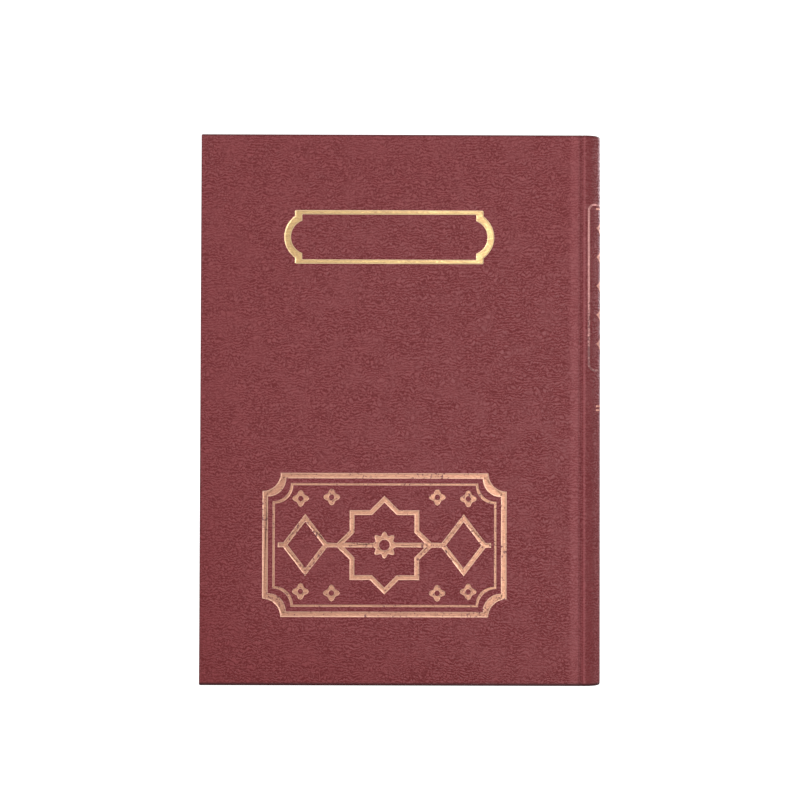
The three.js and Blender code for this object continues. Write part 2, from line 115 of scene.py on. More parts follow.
def pick(obj, test, kind):
    """Selects, in edit mode, the faces, edges or vertices that pass the test."""
    bpy.ops.mesh.select_mode(type=kind)
    bpy.ops.mesh.select_all(action="DESELECT")
    bm = bmesh.from_edit_mesh(obj.data)
    rows = {"FACE": bm.faces, "EDGE": bm.edges, "VERT": bm.verts}[kind]
    count = 0
    for row in rows:
        if test(row):
            row.select_set(True)
            count += 1
    bm.select_flush_mode()
    bmesh.update_edit_mesh(obj.data)
    if not count:
        raise RuntimeError(f"{obj.name}: nothing to select")


def apply_modifier(obj, kind, **settings):
    """Adds a modifier with these settings and applies it."""
    make_active(obj)
    modifier = obj.modifiers.new(kind.title(), kind)
    for key, value in settings.items():
        setattr(modifier, key, value)
    bpy.ops.object.modifier_apply(modifier=modifier.name)


def smooth(obj, angle):
    """Smooths the shading, except at edges sharper than the angle in degrees."""
    make_active(obj)
    bpy.ops.object.shade_smooth_by_angle(angle=math.radians(angle))


def face_outwards(obj):
    """Merges doubled points and turns all faces outwards."""
    make_active(obj)
    bpy.ops.object.mode_set(mode="EDIT")
    bpy.ops.mesh.select_all(action="SELECT")
    bpy.ops.mesh.remove_doubles(threshold=1e-6)
    bpy.ops.mesh.normals_make_consistent(inside=False)
    bpy.ops.object.mode_set(mode="OBJECT")


def copy_of_node(node, name, merge=2e-6, whole=True):
    """A merged copy of a CAD node's mesh, with its flat faces whole again."""
    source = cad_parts[node]
    obj = bpy.data.objects.new(name, source.data.copy())
    obj.data.name = name
    obj.data.materials.clear()
    bpy.context.scene.collection.objects.link(obj)
    make_active(obj)
    bpy.ops.object.mode_set(mode="EDIT")
    bpy.ops.mesh.select_all(action="SELECT")
    bpy.ops.mesh.remove_doubles(threshold=merge)
    bpy.ops.mesh.customdata_custom_splitnormals_clear()
    if whole:
        bpy.ops.mesh.dissolve_limited(angle_limit=math.radians(0.5))
    bpy.ops.object.mode_set(mode="OBJECT")
    return obj


def swept_strip(name, path, low, high):
    """An upright strip that follows a plan path, drawn on edge by edge."""
    bpy.ops.mesh.primitive_plane_add(size=1)
    obj = named(name)
    bpy.ops.object.mode_set(mode="EDIT")
    pick(obj, lambda v: v.co.x > 0, "VERT")
    bpy.ops.mesh.delete(type="VERT")
    bm = bmesh.from_edit_mesh(obj.data)
    x, y = path[0]
    for vertex, z in zip(bm.verts, (low, high)):
        vertex.co = (x, y, z)
    bmesh.update_edit_mesh(obj.data)
    bpy.ops.mesh.select_mode(type="EDGE")
    bpy.ops.mesh.select_all(action="SELECT")
    for before, after in zip(path, path[1:]):
        step = (after[0] - before[0], after[1] - before[1], 0)
        bpy.ops.mesh.extrude_edges_move(TRANSFORM_OT_translate={"value": step})
    bpy.ops.object.mode_set(mode="OBJECT")
    return obj


def joined(name, objects):
    """The objects as one."""
    make_active(objects[0])
    for obj in objects[1:]:
        obj.select_set(True)
    bpy.ops.object.join()
    return named(name)


def mirrored(obj, name):
    """A copy on the other side of the middle plane of the book."""
    make_active(obj)
    bpy.ops.object.duplicate()
    twin = named(name)
    twin.data.transform(Matrix.Diagonal((1, -1, 1, 1)))
    twin.data.flip_normals()
    return twin


# Shader node helpers


class Nodes:
    """Builds and links the nodes of one tree."""

    def __init__(self, tree):
        self.tree = tree

    def add(self, kind, inputs=None, **settings):
        """Adds a node. Each input is a value, or a socket that is linked to it."""
        node = self.tree.nodes.new(kind)
        for key, value in settings.items():
            setattr(node, key, value)
        for key, value in (inputs or {}).items():
            socket = node.inputs[key]
            if isinstance(value, bpy.types.NodeSocket):
                self.link(value, socket)
            else:
                socket.default_value = value
        return node

    def link(self, value, socket):
        self.tree.links.new(value, socket)

    def axes(self, vector):
        return self.add("ShaderNodeSeparateXYZ", {0: vector}).outputs

    def math(self, operation, a, b=0.0):
        return self.add("ShaderNodeMath", {0: a, 1: b}, operation=operation).outputs[0]

    def ranged(self, value, low, high, to_low=0.0, to_high=1.0):
        """Eases from to_low to to_high as the value goes from low to high."""
        inputs = {"Value": value, "From Min": low, "From Max": high, "To Min": to_low, "To Max": to_high}
        return self.add("ShaderNodeMapRange", inputs, interpolation_type="SMOOTHSTEP").outputs[0]

    def mix(self, factor, a, b):
        node = self.add("ShaderNodeMix", {0: factor, 6: a, 7: b}, data_type="RGBA")
        return node.outputs[2]

    def mix_value(self, factor, a, b):
        return self.add("ShaderNodeMix", {0: factor, 2: a, 3: b}, data_type="FLOAT").outputs[0]

    def noise(self, vector, scale, detail=3.0, roughness=0.55):
        inputs = {"Vector": vector, "Scale": scale, "Detail": detail, "Roughness": roughness}
        return self.add("ShaderNodeTexNoise", inputs)

    def stretched(self, vector, scale):
        inputs = {"Vector": vector, "Scale": scale}
        return self.add("ShaderNodeMapping", inputs).outputs[0]


def new_group(name, inputs, outputs):
    """An empty node group with named inputs and outputs: (nodes, input sockets, output node)."""
    tree = bpy.data.node_groups.new(name, "ShaderNodeTree")
    for label, kind, default in inputs:
        socket = tree.interface.new_socket(name=label, in_out="INPUT", socket_type=kind)
        if default is not None:
            socket.default_value = default
    for label, kind in outputs:
        tree.interface.new_socket(name=label, in_out="OUTPUT", socket_type=kind)
    nodes = Nodes(tree)
    start = nodes.add("NodeGroupInput")
    end = nodes.add("NodeGroupOutput")
    return nodes, start.outputs, end


def linear(colour):
    """An sRGB colour of 0 to 255 as a linear one with alpha."""
    parts = [c / 255 for c in colour]
    return tuple(c / 12.92 if c <= 0.04045 else ((c + 0.055) / 1.055) ** 2.4 for c in parts) + (1,)


FLOAT, VECTOR = "NodeSocketFloat", "NodeSocketVector"


def leather_grain_group():
    """Fine grain: wavy level creases, patches of small pebbles, and smoother patches."""
    inputs = [("Vector", VECTOR, None), ("Scale", FLOAT, 1.0)]
    outputs = [("Height", FLOAT), ("Creases", FLOAT), ("Mottle", FLOAT)]
    n, given, end = new_group("Leather grain", inputs, outputs)
    place = n.add("ShaderNodeVectorMath", {0: given["Vector"], "Scale": given["Scale"]}, operation="SCALE")
    place = place.outputs[0]
    sway = n.noise(place, 150.0, 3.0, 0.55).outputs["Color"]
    bend = n.add("ShaderNodeVectorMath", {0: sway, 1: (0.5, 0.5, 0.5)}, operation="SUBTRACT").outputs[0]
    bend = n.add("ShaderNodeVectorMath", {0: bend, "Scale": 6.5 * MM}, operation="SCALE").outputs[0]
    bent = n.add("ShaderNodeVectorMath", {0: place, 1: bend}, operation="ADD").outputs[0]
    level = n.stretched(bent, (1.1, 1.1, 1.0))
    settings = {
        "Scale": 200.0,
        "Distortion": 7.5,
        "Detail": 3.0,
        "Detail Scale": 2.0,
        "Detail Roughness": 0.65,
    }
    waves = n.add(
        "ShaderNodeTexWave", {"Vector": level, **settings}, bands_direction="Z", wave_profile="SIN")
    waves = waves.outputs["Fac"]
    cells = n.add(
        "ShaderNodeTexVoronoi", {"Vector": n.stretched(bent, (0.85, 0.85, 1.0)), "Scale": 600.0},
        feature="DISTANCE_TO_EDGE")
    pebbles = n.ranged(cells.outputs["Distance"], 0.0, 0.3)
    fine = n.noise(place, 1900.0, 3.0, 0.65).outputs[0]
    kind = n.ranged(n.noise(place, 110.0, 3.0).outputs[0], 0.4, 0.6, 0.22, 0.62)
    mixed = n.mix_value(kind, waves, pebbles)
    calm = n.ranged(n.noise(place, 75.0, 3.0).outputs[0], 0.38, 0.56, 0.5, 1.0)
    mean_depth, deep = 0.46, n.math("SUBTRACT", 1.0, mixed)
    low = n.mix_value(calm, mean_depth, deep)
    body = n.math("SUBTRACT", 1.0, low)
    height = n.math("ADD", n.math("MULTIPLY", body, 0.75), n.math("MULTIPLY", fine, 0.35))
    n.link(height, end.inputs["Height"])
    n.link(n.math("POWER", low, 1.3), end.inputs["Creases"])
    n.link(n.noise(place, 260.0, 5.0, 0.7).outputs[0], end.inputs["Mottle"])
    return n.tree


def board_edge_group():
    """Painted light and shade on the covering: painted shade along the case's edges, most at the tail, which
    stands on the floor, painted highlights on the ridges beside the groove, and painted shade on the spine
    beside the groove.
    """
    outputs = [("Edge", FLOAT), ("Highlighted", FLOAT), ("Spine shade", FLOAT)]
    n, given, end = new_group("Case edge", [("Vector", VECTOR, None)], outputs)
    axes = n.axes(given["Vector"])
    # Painted shade along the case's edges: strongest at the tail, less at the head, least at the fore-edge.
    to_fore = n.math("SUBTRACT", axes[0], COVER_LOW.x)
    to_head = n.math("SUBTRACT", CASE_HEIGHT, axes[2])
    tail = n.ranged(axes[2], 0.9 * MM, 2.0 * MM, 1.0, 0.0)
    head = n.ranged(to_head, 0.5 * MM, 1.4 * MM, 0.6, 0.0)
    fore = n.ranged(to_fore, 0.0, 0.9 * MM, 0.5, 0.0)
    n.link(n.math("MAXIMUM", n.math("MAXIMUM", tail, head), fore), end.inputs["Edge"])
    # Painted highlights on the ridges beside the groove: at the board's end and at the spine's edge.
    from_board = n.math("ABSOLUTE", n.math("SUBTRACT", axes[0], BOARD_END - 1.6 * MM))
    from_spine = n.math("ABSOLUTE", n.math("SUBTRACT", axes[0], SPINE_CENTRE - 0.7 * MM))
    board_ridge = n.ranged(from_board, 1.4 * MM, 4.2 * MM, 0.5, 0.0)
    spine_ridge = n.ranged(from_spine, 0.1 * MM, 1.0 * MM, 0.9, 0.0)
    n.link(n.math("MAXIMUM", board_ridge, spine_ridge), end.inputs["Highlighted"])
    # Painted shade on the spine, from the groove to where the spine rounds off.
    beyond = n.ranged(axes[0], SPINE_CENTRE - 0.3 * MM, SPINE_CENTRE + 0.9 * MM)
    rounded = n.ranged(axes[0], SPINE_CENTRE + 4.4 * MM, SPINE_CENTRE + 6.2 * MM, 1.0, 0.0)
    n.link(n.math("MULTIPLY", beyond, rounded), end.inputs["Spine shade"])
    return n.tree


def foil_wear_group():
    """Small pits and thin places in stamped foil: a mask of what is left of it."""
    inputs = [("Vector", VECTOR, None), ("Wear", FLOAT, 0.3)]
    n, given, end = new_group("Foil wear", inputs, [("Foil", FLOAT), ("Height", FLOAT)])
    pits = n.noise(given["Vector"], 700.0, 4.0, 0.65).outputs[0]
    broad = n.noise(given["Vector"], 60.0, 2.0, 0.5).outputs[0]
    value = n.math("ADD", pits, n.math("MULTIPLY", broad, 0.35))
    edge = n.math("ADD", 0.3, n.math("MULTIPLY", given["Wear"], 0.6))
    foil = n.ranged(n.math("SUBTRACT", value, edge), 0.0, 0.08)
    n.link(foil, end.inputs["Foil"])
    n.link(pits, end.inputs["Height"])
    return n.tree


def paper_fibre_group():
    """Soft cloudy fibre of uncoated paper."""
    outputs = [("Cloud", FLOAT), ("Height", FLOAT)]
    n, given, end = new_group("Paper fibre", [("Vector", VECTOR, None)], outputs)
    cloud = n.noise(given["Vector"], 120.0, 4.0, 0.6).outputs[0]
    fibre = n.noise(given["Vector"], 2200.0, 3.0, 0.7).outputs[0]
    n.link(cloud, end.inputs["Cloud"])
    n.link(fibre, end.inputs["Height"])
    return n.tree


GROUPS = {}
MATERIALS = {}


def placed_group(n, name, build, inputs):
    """A node of the named group, which is built when it is first wanted."""
    if name not in GROUPS:
        GROUPS[name] = build()
    return n.add("ShaderNodeGroup", inputs, node_tree=GROUPS[name])


def grain_at(n, place):
    """The leather grain at the scale of the settings."""
    scale = bpy.context.scene.book_look.grain_scale
    return placed_group(n, "Leather grain", leather_grain_group, {"Vector": place, "Scale": scale})


def new_material(name, moves=True):
    """A material and its place input: for pieces that move, where each point is in the closed book."""
    material = bpy.data.materials.new(name)
    material.use_nodes = True
    material.node_tree.nodes.clear()
    n = Nodes(material.node_tree)
    shader = n.add("ShaderNodeBsdfPrincipled")
    out = n.add("ShaderNodeOutputMaterial")
    n.link(shader.outputs[0], out.inputs[0])
    if moves:
        place = n.add("ShaderNodeAttribute", attribute_name="closed_place").outputs["Vector"]
    else:
        place = n.add("ShaderNodeTexCoord").outputs["Object"]
    return material, n, shader, place


def bumped(n, shader, height, distance, strength):
    """Gives the shader bumps whose full height is the distance."""
    bump = n.add("ShaderNodeBump", {"Height": height, "Distance": distance, "Strength": strength})
    n.link(bump.outputs[0], shader.inputs["Normal"])


def leatherette():
    """The grained covering: two close tones, darker creases, painted shade along its edges and on the spine,
    and painted highlights on the ridges beside the groove.
    """
    look = bpy.context.scene.book_look
    material, n, shader, place = new_material("leatherette")
    grain = grain_at(n, place)
    edge = placed_group(n, "Case edge", board_edge_group, {"Vector": place})
    creases = grain.outputs["Creases"]
    base = n.mix(n.ranged(grain.outputs["Mottle"], 0.34, 0.66), tuple(look.leather_dark), tuple(look.leather))
    colour = n.mix(n.ranged(creases, 0.12, 0.78), base, tuple(look.leather_crease_and_spine_shade))
    # Painted shade on the spine beside the groove, in the crease colour.
    colour = n.mix(n.math("MULTIPLY", edge.outputs["Spine shade"], 0.55), colour, tuple(look.leather_crease_and_spine_shade))
    # Painted highlights on the ridges beside the groove.
    colour = n.mix(n.math("MULTIPLY", edge.outputs["Highlighted"], 0.4), colour, tuple(look.leather_ridge_highlight))
    # Painted shade along the case's edges, most at the tail.
    colour = n.mix(edge.outputs["Edge"], colour, tuple(look.leather_edge_shade))
    n.link(colour, shader.inputs["Base Color"])
    n.link(n.ranged(creases, 0.0, 1.0, 0.4, 0.7), shader.inputs["Roughness"])
    shader.inputs["Specular IOR Level"].default_value = 0.3
    bumped(n, shader, grain.outputs["Height"], 0.2 * MM, 0.9)
    return material


def foil(name, colour, rim, wear, roughness, fade=None):
    """Stamped foil: a lighter rim colour as a painted highlight, a duller middle, painted shade towards the
    left, and worn spots where the covering shows.

    A fade gives two heights and the wear at the lower one; the wear changes between them.
    """
    under = LEATHER_UNDER
    material, n, shader, place = new_material(name)
    grain = grain_at(n, place)
    if fade:
        up = n.axes(place)[2]
        low, high, faded = fade
        wear = n.ranged(up, low, high, faded, wear)
    worn = placed_group(n, "Foil wear", foil_wear_group, {"Vector": place, "Wear": wear})
    left = worn.outputs["Foil"]
    at_rim = n.add("ShaderNodeAttribute", attribute_name="rim").outputs["Fac"]
    streaks = n.noise(n.stretched(place, (0.35, 1.0, 1.0)), 1500.0, 3.0, 0.6).outputs[0]
    middle = n.mix(n.ranged(streaks, 0.3, 0.7, 0.0, 0.3), colour, under)
    middle = n.mix(n.math("MULTIPLY", grain.outputs["Creases"], 0.25), middle, under)
    # Painted highlight: the rim takes the lighter rim colour, as a pressed rim catching the light.
    shade = n.mix(n.math("MULTIPLY", at_rim, 0.9), middle, rim)
    # Painted shade across the foil: towards the leather colour on the left, full foil on the right, varied by
    # a broad random tone.
    across = n.axes(place)[0]
    shade_across = n.math("ADD", n.noise(place, 35.0, 3.0).outputs[0], n.math("MULTIPLY", across, 2.0))
    shade = n.mix(n.ranged(shade_across, 0.25, 0.75, 0.24, 0.0), shade, under)
    n.link(n.mix(left, under, shade), shader.inputs["Base Color"])
    sheen = n.math("SUBTRACT", 0.75, n.math("MULTIPLY", at_rim, 0.4))
    n.link(n.math("MULTIPLY", left, sheen), shader.inputs["Metallic"])
    n.link(n.ranged(streaks, 0.3, 0.7, roughness, roughness + 0.14), shader.inputs["Roughness"])
    bumped(n, shader, grain.outputs["Height"], 0.06 * MM, 0.5)
    return material


def paper(name, colour, shade, rule=None):
    """Uncoated paper. With a rule, it has the printed lines of a register leaf."""
    material, n, shader, place = new_material(name)
    fibre = placed_group(n, "Paper fibre", paper_fibre_group, {"Vector": place})
    tint = n.mix(n.ranged(fibre.outputs["Cloud"], 0.3, 0.7), shade, colour)
    if rule:
        tint = ruled(n, place, tint, rule)
    n.link(tint, shader.inputs["Base Color"])
    shader.inputs["Roughness"].default_value = 0.85
    bumped(n, shader, fibre.outputs["Height"], 0.04 * MM, 0.6)
    return material


def ruled(n, place, tint, rule):
    """Adds the printed rules of a blank register leaf."""
    axes = n.axes(place)
    across, up = axes[0], axes[2]
    low, high = rule["z"]
    left, right = rule["x"]
    inside_z = n.math("MULTIPLY", n.math("GREATER_THAN", up, low), n.math("LESS_THAN", up, high))
    inside_x = n.math("MULTIPLY", n.math("GREATER_THAN", across, left), n.math("LESS_THAN", across, right))
    inside = n.math("MULTIPLY", inside_z, inside_x)
    phase = n.math("FRACT", n.math("DIVIDE", n.math("SUBTRACT", up, low), rule["pitch"]))
    line = n.math("LESS_THAN", phase, rule["line"] / rule["pitch"])
    mask = n.math("MULTIPLY", line, inside)
    for column in rule["columns"]:
        gap = n.math("ABSOLUTE", n.math("SUBTRACT", across, column))
        mark = n.math("MULTIPLY", n.math("LESS_THAN", gap, rule["line"] * 0.8), inside_z)
        mask = n.math("MAXIMUM", mask, mark)
    return n.mix(n.math("MULTIPLY", mask, 0.55), tint, rule["ink"])


def block_paper():
    """The sections: fine lines of leaves on their cut edges, and a ruled page on their two outer faces."""
    material, n, shader, place = new_material("block_paper")
    fibre = placed_group(n, "Paper fibre", paper_fibre_group, {"Vector": place})
    leaves = n.noise(n.stretched(place, (12.0, 5200.0, 12.0)), 1.0, 2.0, 0.6).outputs[0]
    clouds = n.ranged(fibre.outputs["Cloud"], 0.3, 0.7)
    cut = n.mix(clouds, linear((226, 219, 200)), linear((240, 235, 220)))
    cut = n.mix(n.ranged(leaves, 0.35, 0.62, 0.5, 0.0), cut, linear((150, 140, 118)))
    page = ruled(n, place, n.mix(clouds, linear((242, 237, 225)), linear((245, 241, 230))), RULE)
    from_middle = n.math("ABSOLUTE", n.axes(place)[1])
    on_page = n.math("GREATER_THAN", from_middle, BLOCK_HALF - 0.03 * MM)
    n.link(n.mix(on_page, cut, page), shader.inputs["Base Color"])
    shader.inputs["Roughness"].default_value = 0.9
    lines = n.math("MULTIPLY", leaves, n.math("SUBTRACT", 1.0, on_page))
    bumped(n, shader, lines, 0.08 * MM, 0.8)
    return material


def greyboard():
    """Speckled grey board with faint layers along its edges."""
    material, n, shader, place = new_material("greyboard")
    specks = n.noise(place, 700.0, 5.0, 0.7).outputs[0]
    layers = n.noise(n.stretched(place, (20.0, 2600.0, 20.0)), 1.0, 2.0).outputs[0]
    tint = n.mix(n.ranged(specks, 0.35, 0.65), linear((120, 112, 100)), linear((158, 150, 136)))
    tint = n.mix(n.ranged(layers, 0.4, 0.6, 0.3, 0.0), tint, linear((96, 90, 82)))
    n.link(tint, shader.inputs["Base Color"])
    shader.inputs["Roughness"].default_value = 0.95
    bumped(n, shader, specks, 0.06 * MM, 0.8)
    return material


def woven(name, light, dark, pitch):
    """Thin glued muslin: threads over and under, level and upright."""
    material, n, shader, place = new_material(name)
    axes = n.axes(place)
    threads = []
    for axis in (axes[1], axes[2]):
        turn = n.math("MULTIPLY", axis, 2 * math.pi / pitch)
        threads.append(n.math("ABSOLUTE", n.math("SINE", turn)))
    weave = n.math("MAXIMUM", threads[0], threads[1])
    n.link(n.mix(n.ranged(weave, 0.3, 0.9), dark, light), shader.inputs["Base Color"])
    shader.inputs["Roughness"].default_value = 0.95
    bumped(n, shader, weave, 0.1 * MM, 0.8)
    return material


def kraft():
    """Brown paper with upright fibres."""
    material, n, shader, place = new_material("kraft_paper")
    fibre = n.noise(n.stretched(place, (1.0, 1.0, 0.3)), 900.0, 4.0, 0.7).outputs[0]
    tint = n.mix(n.ranged(fibre, 0.3, 0.7), linear((160, 120, 78)), linear((192, 152, 104)))
    n.link(tint, shader.inputs["Base Color"])
    shader.inputs["Roughness"].default_value = 0.85
    bumped(n, shader, fibre, 0.05 * MM, 0.6)
    return material


def stage_paint():
    """Grey-white paper that the camera sees as pure white, as the ground of a product photograph."""
    material, n, shader, place = new_material("pale_stage", moves=False)
    cloud = n.noise(place, 3.0, 2.0).outputs[0]
    tint = n.mix(n.ranged(cloud, 0.3, 0.7), (0.3, 0.3, 0.3, 1), (0.33, 0.33, 0.33, 1))
    n.link(tint, shader.inputs["Base Color"])
    shader.inputs["Roughness"].default_value = 0.9
    shader.inputs["Emission Color"].default_value = WHITE
    seen = n.add("ShaderNodeLightPath").outputs["Is Camera Ray"]
    n.link(seen, shader.inputs["Emission Strength"])
    return material


def material(name):
    """The named material, which is made when it is first wanted."""
    if name not in MATERIALS:
        MATERIALS[name] = MATERIAL_MAKERS[name]()
    return MATERIALS[name]


RULE = {
    "z": (22 * MM, 262 * MM),
    "x": (-96 * MM, 88 * MM),
    "pitch": 8 * MM,
    "line": 0.28 * MM,
    "columns": [x * MM for x in (-96, -78, -30, 18, 58, 88)],
    "ink": linear((126, 140, 168)),
}
LEATHER_UNDER = linear((112, 56, 56))
# Lighter rim colours of the foils: painted highlights on the pressed rims.
ROSE_RIM_HIGHLIGHT = linear((238, 190, 164))
GOLD_RIM_HIGHLIGHT = linear((244, 210, 166))

MATERIAL_MAKERS = {
    "leatherette": leatherette,
    "gold_foil": lambda: foil(
        "gold_foil", tuple(bpy.context.scene.book_look.gold), GOLD_RIM_HIGHLIGHT, 0.04, 0.34),
    "rose_foil": lambda: foil(
        "rose_foil", tuple(bpy.context.scene.book_look.rose), ROSE_RIM_HIGHLIGHT, 0.37, 0.4),
    "spine_foil": lambda: foil("spine_foil", linear((220, 160, 142)), ROSE_RIM_HIGHLIGHT, 0.16, 0.42),
    "faded_foil": lambda: foil(
        "faded_foil", linear((178, 128, 124)), ROSE_RIM_HIGHLIGHT, 0.12, 0.42, (185 * MM, 245 * MM, 0.64)),
    "endpaper": lambda: paper("endpaper", linear((242, 236, 222)), linear((238, 231, 216))),
    "leaf_paper": lambda: paper("leaf_paper", linear((245, 241, 230)), linear((242, 237, 225)), RULE),
    "block_paper": block_paper,
    "greyboard": greyboard,
    "muslin": lambda: woven("muslin", linear((220, 212, 192)), linear((150, 138, 112)), 1.2 * MM),
    "kraft_paper": kraft,
    "band_cloth": lambda: woven("band_cloth", linear((228, 214, 180)), linear((140, 60, 60)), 1.6 * MM),
    "pale_stage": stage_paint,
}


def painted(obj, look):
    """Gives the mesh its material, and keeps where its points are in the closed book."""
    places = obj.data.attributes.new("closed_place", "FLOAT_VECTOR", "POINT")
    places.data.foreach_set("vector", [c for vertex in obj.data.vertices for c in vertex.co])
    obj.data.materials.clear()
    obj.data.materials.append(material(look))


def finish_piece(obj, look):
    """Gives a new piece its material."""
    painted(obj, look)


# Settings that a user would change


def colour_setting(name, description, colour):
    return bpy.props.FloatVectorProperty(
        name=name, description=description, subtype="COLOR", size=4, default=linear(colour), min=0, max=1)


def length_setting(name, description, default, low, high):
    """A length, with its default and its limits in millimetres."""
    return bpy.props.FloatProperty(
        name=name, description=description, unit="LENGTH", default=default * MM, min=low * MM, max=high * MM)


class BookLook(bpy.types.PropertyGroup):
    """Colours and small sizes of the book's finish."""

    leather: colour_setting("Covering", "Main colour of the grained covering", (132, 59, 63))
    leather_dark: colour_setting("Covering, dark patches", "Colour of the darker mottling", (127, 56, 60))
    # Colour of the grain's creases, and also of the painted shade on the spine.
    leather_crease_and_spine_shade: colour_setting("Creases", "Colour in the creases of the grain", (102, 29, 33))
    # Colour of the painted highlights on the ridges beside the groove.
    leather_ridge_highlight: colour_setting(
        "Rubbed ridges", "Colour where the ridges beside the groove are highlighted", (164, 90, 94))
    # Colour of the painted shade along the case's edges.
    leather_edge_shade: colour_setting("Edges", "Colour along the shaded edges", (66, 20, 24))
    gold: colour_setting("Gold foil", "Colour of the foil round the title place", (224, 193, 132))
    rose: colour_setting("Rose foil", "Colour of the foil on the lower panel", (212, 160, 130))
    grain_scale: bpy.props.FloatProperty(
        name="Grain scale", description="How fine the leather grain is", default=1.0, min=0.1, max=5)
    edge_radius: length_setting("Edge radius", "Rounding of the covered board edges", 0.8, 0.1, 1.2)
    cloth: length_setting("Covering thickness", "Thickness of the covering", 0.35, 0.1, 1)
    press: length_setting("Stamp depth", "How deep the foil is pressed in", 0.12, 0.02, 0.3)


# The covering


def covered_board(name, side):
    """The covering of one cover, its outer edges rounded as cloth turns over a board."""
    look = bpy.context.scene.book_look
    obj = copy_of_node(f"{name}_cover_cloth", f"{name}_cover_skin")
    low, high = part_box(f"{name}_cover_cloth")
    near = 2e-6

    def at_joint(edge):
        return all(abs(v.co.x - high.x) < near for v in edge.verts)

    def on_outside(edge):
        ends = [v.co for v in edge.verts]
        flat = {
            "x0": all(abs(c.x - low.x) < near for c in ends),
            "x1": all(abs(c.x - high.x) < near for c in ends),
            "y": all(abs(c.y - side * CASE_HALF) < near for c in ends),
            "y_in": all(abs(abs(c.y) - min(abs(low.y), abs(high.y))) < near for c in ends),
            "z0": all(abs(c.z - low.z) < near for c in ends),
            "z1": all(abs(c.z - high.z) < near for c in ends),
        }
        return sum(flat.values()) >= 2

    bpy.ops.object.mode_set(mode="EDIT")
    pick(obj, lambda e: on_outside(e) and not at_joint(e), "EDGE")
    bpy.ops.mesh.bevel(offset=look.edge_radius, segments=4, profile=0.5, affect="EDGES")
    pick(obj, lambda e: at_joint(e) and all(abs(v.co.y - side * CASE_HALF) < near for v in e.verts), "EDGE")
    bpy.ops.mesh.bevel(offset=JOINT_BEVEL, segments=3, profile=0.5, affect="EDGES")
    bpy.ops.object.mode_set(mode="OBJECT")
    obj = joined(obj.name, [obj, board_end(name, side)])
    finish_piece(obj, "leatherette")
    smooth(obj, 30)
    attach(obj, COVER_BODY[name])
    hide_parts(f"{name}_cover_cloth")


def board_end(name, side):
    """The covering glued down the end of the board, where it goes on into the groove."""
    edge, inset = BOARD_END + 0.02 * MM, 0.3 * MM
    deep = min(abs(value.y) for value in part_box(f"{name}_cover_cloth")) + 0.1 * MM
    path = [(edge, side * (CASE_HALF - inset)), (edge, side * deep)]
    obj = swept_strip(f"{name}_board_end", path, inset, CASE_HEIGHT - inset)
    apply_modifier(obj, "SOLIDIFY", thickness=0.03 * MM, offset=0)
    face_outwards(obj)
    return obj


def joint_and_spine_plan():
    """Points from the board's edge down the groove and round to the middle of the spine.

    Each is a place, the way out of the covering there, the share of the full thickness of the spine, and
    how far the place is pressed in.
    """
    steps, arc_steps = 22, 22
    # How deep the groove is, how far across it is deepest, and its share of that at the board
    deep, bottom, at_board = 1.2 * MM, 0.68, 0.36
    # The share of the full thickness beside the board, and how far across it begins to grow
    thin, thin_to = 0.42, 0.7
    start, ridge = BOARD_END + 0.04 * MM, SPINE_CENTRE - 0.9 * MM
    places = []
    for k in range(steps):
        t = k / steps
        way = t / bottom if t < bottom else (1 - t) / (1 - bottom)
        dip = way * way * (3 - 2 * way)
        if t < bottom:
            dip = at_board + (1 - at_board) * dip
        places.append((start + (ridge - start) * t, -(CASE_HALF - deep * dip)))
    for k in range(arc_steps + 1):
        angle = math.pi / 2 * (1 - k / arc_steps)
        places.append((SPINE_CENTRE + SPINE_RADIUS * math.cos(angle), -SPINE_RADIUS * math.sin(angle)))
    plan = []
    for k, place in enumerate(places):
        before, after = places[max(k - 1, 0)], places[min(k + 1, len(places) - 1)]
        along = Vector((after[0] - before[0], after[1] - before[1]))
        if k == len(places) - 1:
            along = Vector((0, 1))
        out = Vector((along.y, -along.x)).normalized()
        grown = min(max((k / steps - thin_to) / (1 - thin_to), 0), 1)
        share = thin + (1 - thin) * grown
        pressed = CASE_HALF + place[1] if k < steps else 0
        plan.append((Vector(place), out, share, pressed))
    return plan


def covering_section():
    """The covering cut through at the spine, as pairs of depth and height: it is turned in at both ends."""
    cloth = bpy.context.scene.book_look.cloth
    full = SPINE_RADIUS - LINER_LOW_RADIUS + cloth + 0.1 * MM
    round_off, drop = 0.7 * MM, 1.5 * MM
    steps = 5

    head = [
        (round_off - round_off * math.cos(math.radians(90 * k / steps)),
         CASE_HEIGHT - drop + drop * math.sin(math.radians(90 * k / steps)))
        for k in range(steps + 1)
    ]
    head += [
        (full - round_off + round_off * math.sin(math.radians(90 * k / steps)),
         CASE_HEIGHT - drop + drop * math.cos(math.radians(90 * k / steps)))
        for k in range(steps + 1)
    ]
    inside = [
        (full, CASE_HEIGHT - SPINE_TURN_IN),
        (full - cloth, CASE_HEIGHT - SPINE_TURN_IN),
        (full - cloth, CASE_HEIGHT - cloth),
        (cloth, CASE_HEIGHT - cloth),
    ]
    half = head + inside
    tail = [(depth, CASE_HEIGHT - height) for depth, height in reversed(half)]
    return half + tail


